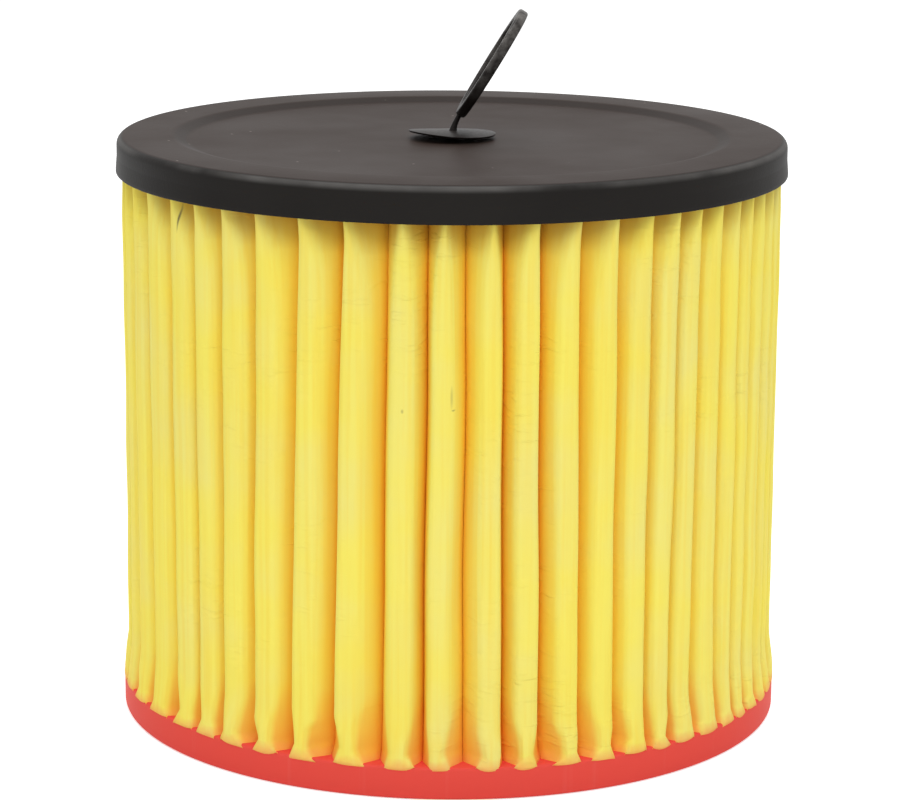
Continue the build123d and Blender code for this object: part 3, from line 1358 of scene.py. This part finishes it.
@dataclass
class PullRing:
    """The soft pull ring with its neck, its disc on the cap and its anchor below, moulded in one piece."""

    ring_radius: float = 16.5
    ring_width: float = 3.0
    ring_thickness: float = 2.7
    ring_edge: float = 0.7
    ring_steps: int = 120
    ring_edge_steps: int = 4
    disc_edge_steps: int = 3
    lean_deg: float = 31.4
    twist_deg: float = -1.9
    ring_foot: Corner = (1.9, 0.0, 161.7)
    neck_radius: float = 0.8
    neck_steps: int = 12
    neck_bow: float = 0.4
    neck_flare: float = 0.7
    neck_flare_power: int = 4
    disc_radius: float = 11.8
    disc_rim: float = 0.5
    disc_crown: float = 0.5
    disc_under: float = 156.75
    disc_tilt: float = 0.045
    disc_side_tilt: float = 0.033
    disc_wave: float = 0.3
    disc_wave_phase: float = 0.6
    disc_undercut: float = 0.3
    disc_edge: float = 0.1
    disc_flat_share: float = 0.2
    axis_radius: float = 0.05
    stem_radius: float = 1.6
    anchor_radius: float = 4.0
    anchor_edge: float = 0.3
    anchor_top: float = 154.2
    anchor_foot: float = 150.7

    def ring_shell(self) -> Shell:
        """Make the ring, which leans and is twisted a little.

        Returns:
            Its points and faces.
        """
        half, inner = self.ring_thickness / 2, self.ring_radius - self.ring_width
        corners = [
            (self.ring_radius, -half, self.ring_edge),
            (self.ring_radius, half, self.ring_edge),
            (inner, half, self.ring_edge),
            (inner, -half, self.ring_edge),
        ]
        points, faces = turned(rounded_outline(corners, self.ring_edge_steps), self.ring_steps)
        lean = Matrix.Rotation(math.radians(self.lean_deg), 3, "Y")
        twist = Matrix.Rotation(math.radians(self.twist_deg), 3, "Z")
        upright = Matrix.Rotation(math.radians(90), 3, "Y")
        place = Vector(self.ring_foot) + lean @ Vector((0, 0, self.ring_radius))
        return [place + lean @ twist @ upright @ point for point in points], faces

    def disc_shell(self) -> Shell:
        """Make the disc, lifted at the front and not quite flat, with the stem and the anchor under it.

        Returns:
            Its points and faces.
        """
        rim = self.disc_under + self.disc_rim
        corners = [
            (self.axis_radius, self.anchor_foot, 0),
            (self.stem_radius, self.anchor_foot, self.anchor_edge),
            (self.anchor_radius, self.anchor_top, self.anchor_edge),
            (self.stem_radius, self.anchor_top, 0),
            (self.stem_radius, self.disc_under, 0),
            (self.disc_radius - self.disc_undercut, self.disc_under, self.disc_edge),
            (self.disc_radius, rim, self.disc_edge),
            (self.stem_radius, rim + self.disc_crown, 0),
            (self.axis_radius, rim + self.disc_crown, 0),
        ]
        points, faces = turned(rounded_outline(corners, self.disc_edge_steps), self.ring_steps)
        for point in points:
            out = math.hypot(point.x, point.y) / self.disc_radius
            if point.z >= self.disc_under and out > self.disc_flat_share:
                turn = 2 * math.atan2(point.y, point.x) + self.disc_wave_phase
                wave = math.sin(turn) * self.disc_wave
                point.z += wave * out * out - point.y * self.disc_tilt - point.x * self.disc_side_tilt
        return points, faces

    def neck_shell(self) -> Shell:
        """Make the neck, which bends from the disc into the foot of the ring.

        Returns:
            Its points and faces.
        """
        lean = math.radians(self.lean_deg)
        start = Vector((0, 0, self.disc_under))
        end = Vector(self.ring_foot) + Vector((math.sin(lean), 0, math.cos(lean))) * self.ring_width / 2
        bend = Vector((start.x + self.neck_bow, 0, (start.z + end.z) / 2))
        points: list[Vector] = []
        for step in range(self.neck_steps + 1):
            share = step / self.neck_steps
            middle = start.lerp(bend, share).lerp(bend.lerp(end, share), share)
            radius = self.neck_radius * (1 + self.neck_flare * (1 - share) ** self.neck_flare_power)
            turns = [2 * math.pi * corner / self.neck_steps for corner in range(self.neck_steps)]
            points += [middle + Vector((math.cos(turn), math.sin(turn), 0)) * radius for turn in turns]
        size = self.neck_steps
        last = size * size
        faces: list[tuple[int, ...]] = [tuple(range(size))[::-1], tuple(range(last, last + size))]
        for step in range(size):
            for corner in range(size):
                after = (corner + 1) % size
                low = step * size
                faces.append((low + corner, low + after, low + size + after, low + size + corner))
        return points, faces

    def build(self) -> bpy.types.Object:
        """Make the pull ring.

        Returns:
            The new object.
        """
        points: list[Vector] = []
        faces: list[tuple[int, ...]] = []
        for shell_points, shell_faces in (self.ring_shell(), self.disc_shell(), self.neck_shell()):
            faces += [tuple(len(points) + corner for corner in face) for face in shell_faces]
            points += shell_points
        piece = make_piece(
            "pull_ring_tab", points, faces, RING_PLASTIC.material(), crease_deg=40
        )
        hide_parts("pull_ring")
        return piece


@dataclass(frozen=True)
class Lamp:
    """A soft square lamp, in metres and watts."""

    name: str
    place: tuple[float, float, float]
    size: float
    watts: float


@dataclass
class Studio:
    """Pale floor, soft light and the camera."""

    dome: float = 0.535
    floor_size: float = 30.0
    floor_drop_mm: float = 0.1  # keeps the floor from sharing a plane with the red ring's underside
    floor_colour: str = "#f4f4f4"
    floor_lift: float = 0.5
    floor_roughness: float = 0.9
    lamps: tuple[Lamp, ...] = (
        Lamp("front_lamp", (0.1, -1.2, 1.7), 1.4, 13.4),
        Lamp("top_lamp", (0.0, 0.15, 1.3), 0.8, 12.0),
    )
    lamp_aim: tuple[float, float, float] = (0.0, 0.0, 0.08)
    sensor_mm: float = 36.0
    view_depth: float = 100.0
    focal_px: float = 3205.0
    camera_mm: tuple[float, float, float] = (-0.1, -857.07, 280.73)
    pitch_deg: float = 12.98
    roll_deg: float = -0.39
    bounces: int = 16  # light goes to and fro in the folds more often than is followed by default

    def seen_rays(self, tree: bpy.types.NodeTree) -> bpy.types.NodeSocket:
        """Add a switch that is 1 for rays from the camera, mirrors and glass, and 0 for light.

        Args:
            tree: the node tree that gets the switch.

        Returns:
            The switch's output.
        """
        path = add_node(tree, "ShaderNodeLightPath")
        mirrored = add_node(
            tree,
            "ShaderNodeMath",
            {0: path.outputs["Is Glossy Ray"], 1: path.outputs["Is Transmission Ray"]},
            operation="MAXIMUM",
        )
        seen = add_node(
            tree,
            "ShaderNodeMath",
            {0: path.outputs["Is Camera Ray"], 1: mirrored.outputs[0]},
            operation="MAXIMUM",
        )
        return seen.outputs[0]

    def light_world(self) -> None:
        """Surround the filter with an even white dome."""
        world = bpy.data.worlds.new("white_room")
        world.use_nodes = True
        tree = world.node_tree
        strength = add_node(tree, "ShaderNodeMapRange", {0: self.seen_rays(tree), 3: self.dome, 4: 1.0})
        dome = tree.nodes["Background"]
        dome.inputs["Color"].default_value = (1, 1, 1, 1)
        tree.links.new(strength.outputs[0], dome.inputs["Strength"])
        bpy.context.scene.world = world

    def lay_floor(self) -> None:
        """Lay a pale floor that keeps the filter's shadow."""
        half = self.floor_size / 2
        corners = [(-half, -half, 0), (half, -half, 0), (half, half, 0), (-half, half, 0)]
        mesh = bpy.data.meshes.new("floor")
        mesh.from_pydata(corners, [], [(0, 1, 2, 3)])
        material = bpy.data.materials.new("white_studio_paper")
        material.use_nodes = True
        tree = material.node_tree
        shader = tree.nodes["Principled BSDF"]
        shader.inputs["Base Color"].default_value = linear(self.floor_colour)
        shader.inputs["Roughness"].default_value = self.floor_roughness
        shader.inputs["Specular IOR Level"].default_value = 0.0
        shader.inputs["Emission Color"].default_value = (1, 1, 1, 1)
        lift = add_node(tree, "ShaderNodeMapRange", {0: self.seen_rays(tree), 3: 0.0, 4: self.floor_lift})
        tree.links.new(lift.outputs[0], shader.inputs["Emission Strength"])
        mesh.materials.append(material)
        floor = bpy.data.objects.new("floor", mesh)
        floor.location.z = -self.floor_drop_mm * MM
        bpy.context.scene.collection.objects.link(floor)

    def hang_lamp(self, lamp: Lamp) -> None:
        """Hang a lamp that points at the filter.

        Args:
            lamp: the lamp's name, place, size and power.
        """
        data = bpy.data.lights.new(lamp.name, "AREA")
        data.shape = "SQUARE"
        data.size = lamp.size
        data.energy = lamp.watts
        hung = bpy.data.objects.new(lamp.name, data)
        hung.location = lamp.place
        aim = Vector(self.lamp_aim) - Vector(lamp.place)
        hung.rotation_euler = aim.to_track_quat("-Z", "Y").to_euler()
        bpy.context.scene.collection.objects.link(hung)

    def place_camera(self) -> None:
        """Stand the camera where the picture was taken from."""
        data = bpy.data.cameras.new("camera")
        data.sensor_fit = "HORIZONTAL"
        data.sensor_width = self.sensor_mm
        data.lens = self.focal_px * data.sensor_width / PICTURE_WIDTH
        data.clip_end = self.view_depth
        pitch, roll = math.radians(self.pitch_deg), math.radians(self.roll_deg)
        forward = Vector((0, math.cos(pitch), -math.sin(pitch)))
        level_up = Vector((0, math.sin(pitch), math.cos(pitch)))
        right = Vector((1, 0, 0)) * math.cos(roll) - level_up * math.sin(roll)
        up = Vector((1, 0, 0)) * math.sin(roll) + level_up * math.cos(roll)
        pose = Matrix((right, up, -forward)).transposed().to_4x4()
        pose.translation = Vector(self.camera_mm) * MM
        camera = bpy.data.objects.new("camera", data)
        camera.matrix_world = pose
        bpy.context.scene.collection.objects.link(camera)
        bpy.context.scene.camera = camera

    def build(self) -> None:
        """Set up the whole studio."""
        scene = bpy.context.scene
        scene.view_settings.view_transform = "Standard"
        scene.cycles.max_bounces = self.bounces
        scene.cycles.diffuse_bounces = self.bounces
        self.light_world()
        self.lay_floor()
        for lamp in self.lamps:
            self.hang_lamp(lamp)
        self.place_camera()


def main() -> None:
    """Build the filter's pieces in order and set up the studio."""
    logging.basicConfig(level=logging.INFO)
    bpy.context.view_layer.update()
    PleatPack().build()
    FootRing().build()
    Cap().build()
    PullRing().build()
    dress_node("support_core", CORE_PLASTIC.material())
    dress_node("cap_glue", GLUE.material())
    Studio().build()


if __name__ == "__main__":
    main()
